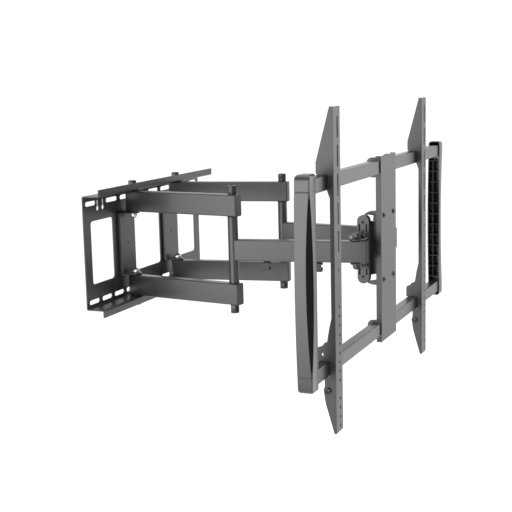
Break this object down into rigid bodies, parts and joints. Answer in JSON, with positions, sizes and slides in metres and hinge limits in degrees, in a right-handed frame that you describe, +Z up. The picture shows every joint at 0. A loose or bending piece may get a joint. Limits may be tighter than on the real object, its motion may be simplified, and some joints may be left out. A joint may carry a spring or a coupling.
{
  "type": "full motion TV wall mount",
  "caption": "Dual-arm full motion TV wall mount with folding arms, a tilting and levelling head, and a wide frame with sliding vertical TV brackets.",
  "frame": {"origin": "centre of the wall plate's back face, at the height of the forearms", "axes": "+Z up, -Y out of the wall towards the television, +X to the right for someone who faces the television"},
  "size_m": [1.132, 0.6875, 0.695],
  "materials": {
    "powder_coated_steel": "satin powder coat",
    "black_plastic": "satin",
    "black_hardware": "black oxide",
    "zinc_plated_steel": "zinc plated"
  },
  "bodies": {
    "wall_plate": {"wall_plate": "powder_coated_steel", "left_pivot_bracket": "powder_coated_steel", "left_upper_shoulder_bolt": "black_hardware", "left_lower_shoulder_bolt": "black_hardware", "left_upper_shoulder_nut": "zinc_plated_steel", "left_lower_shoulder_nut": "zinc_plated_steel", "right_pivot_bracket": "powder_coated_steel", "right_upper_shoulder_bolt": "black_hardware", "right_lower_shoulder_bolt": "black_hardware", "right_upper_shoulder_nut": "zinc_plated_steel", "right_lower_shoulder_nut": "zinc_plated_steel"},
    "left_rear_arm": {"left_upper_rear_arm": "powder_coated_steel", "left_lower_rear_arm": "powder_coated_steel", "left_upper_rear_arm_plug": "black_plastic", "left_lower_rear_arm_plug": "black_plastic", "left_upper_elbow_cap": "black_hardware", "left_lower_elbow_cap": "black_hardware", "left_elbow_shaft": "black_hardware"},
    "right_rear_arm": {"right_upper_rear_arm": "powder_coated_steel", "right_lower_rear_arm": "powder_coated_steel", "right_upper_rear_arm_plug": "black_plastic", "right_lower_rear_arm_plug": "black_plastic", "right_upper_elbow_cap": "black_hardware", "right_lower_elbow_cap": "black_hardware", "right_elbow_shaft": "black_hardware"},
    "left_forearm": {"left_forearm": "powder_coated_steel", "left_forearm_plug": "black_plastic", "left_cable_clip_1": "black_plastic", "left_cable_clip_2": "black_plastic"},
    "right_forearm": {"right_forearm": "powder_coated_steel", "right_forearm_plug": "black_plastic", "right_cable_clip_1": "black_plastic", "right_cable_clip_2": "black_plastic"},
    "head": {"head_bracket": "powder_coated_steel", "left_head_pivot_bolt": "black_hardware", "left_head_pivot_nut": "black_hardware", "left_upper_lug_bolt": "black_hardware", "left_lower_lug_bolt": "black_hardware", "left_tilt_bolt": "black_hardware", "right_head_pivot_bolt": "black_hardware", "right_head_pivot_nut": "black_hardware", "right_upper_lug_bolt": "black_hardware", "right_lower_lug_bolt": "black_hardware", "right_tilt_bolt": "black_hardware"},
    "tilt_carrier": {"tilt_carrier": "powder_coated_steel"},
    "tv_frame": {"column": "powder_coated_steel", "column_screw_1": "black_hardware", "column_screw_2": "black_hardware", "column_screw_3": "black_hardware", "column_screw_4": "black_hardware", "upper_rail": "powder_coated_steel", "lower_rail": "powder_coated_steel", "left_side_cover": "black_plastic", "right_side_cover": "black_plastic"},
    "left_tv_bracket": {"left_tv_bracket": "powder_coated_steel", "left_locking_screw": "black_hardware"},
    "right_tv_bracket": {"right_tv_bracket": "powder_coated_steel", "right_locking_screw": "black_hardware"}
  },
  "joints": [
    {"name": "left_shoulder", "type": "hinge", "parent": "wall_plate", "child": "left_rear_arm", "pos_m": [-0.1215, -0.0306, 0], "axis": [0, 0, 1], "range_deg": [-77.4, 8]},
    {"name": "left_elbow", "type": "hinge", "parent": "left_rear_arm", "child": "left_forearm", "pos_m": [-0.16681, -0.33019, 0], "axis": [0, 0, 1], "range_deg": [-16, 154.8]},
    {"name": "head_pivot", "type": "hinge", "parent": "left_forearm", "child": "head", "pos_m": [-0.1215, -0.62979, 0], "axis": [0, 0, 1], "range_deg": [-77.4, 8]},
    {"name": "right_shoulder", "type": "hinge", "parent": "wall_plate", "child": "right_rear_arm", "pos_m": [0.1215, -0.0306, 0], "axis": [0, 0, 1], "range_deg": [-8, 77.4]},
    {"name": "right_elbow", "type": "hinge", "parent": "right_rear_arm", "child": "right_forearm", "pos_m": [0.16681, -0.33019, 0], "axis": [0, 0, 1], "range_deg": [-154.8, 16]},
    {"name": "tilt", "type": "hinge", "parent": "head", "child": "tilt_carrier", "pos_m": [0, -0.63649, 0], "axis": [1, 0, 0], "range_deg": [-5, 15]},
    {"name": "level", "type": "hinge", "parent": "tilt_carrier", "child": "tv_frame", "pos_m": [0, -0.67519, 0], "axis": [0, 1, 0], "range_deg": [-3, 3]},
    {"name": "left_bracket_slide", "type": "slide", "parent": "tv_frame", "child": "left_tv_bracket", "axis": [1, 0, 0], "range_m": [-0.072, 0.335]},
    {"name": "right_bracket_slide", "type": "slide", "parent": "tv_frame", "child": "right_tv_bracket", "axis": [1, 0, 0], "range_m": [-0.207, 0.204]}
  ],
  "couplings": [
    {"joint": "left_elbow", "follows": "left_shoulder", "ratio": -2},
    {"joint": "head_pivot", "follows": "left_shoulder", "ratio": 1},
    {"joint": "right_shoulder", "follows": "left_shoulder", "ratio": -1},
    {"joint": "right_elbow", "follows": "left_shoulder", "ratio": 2}
  ]
}
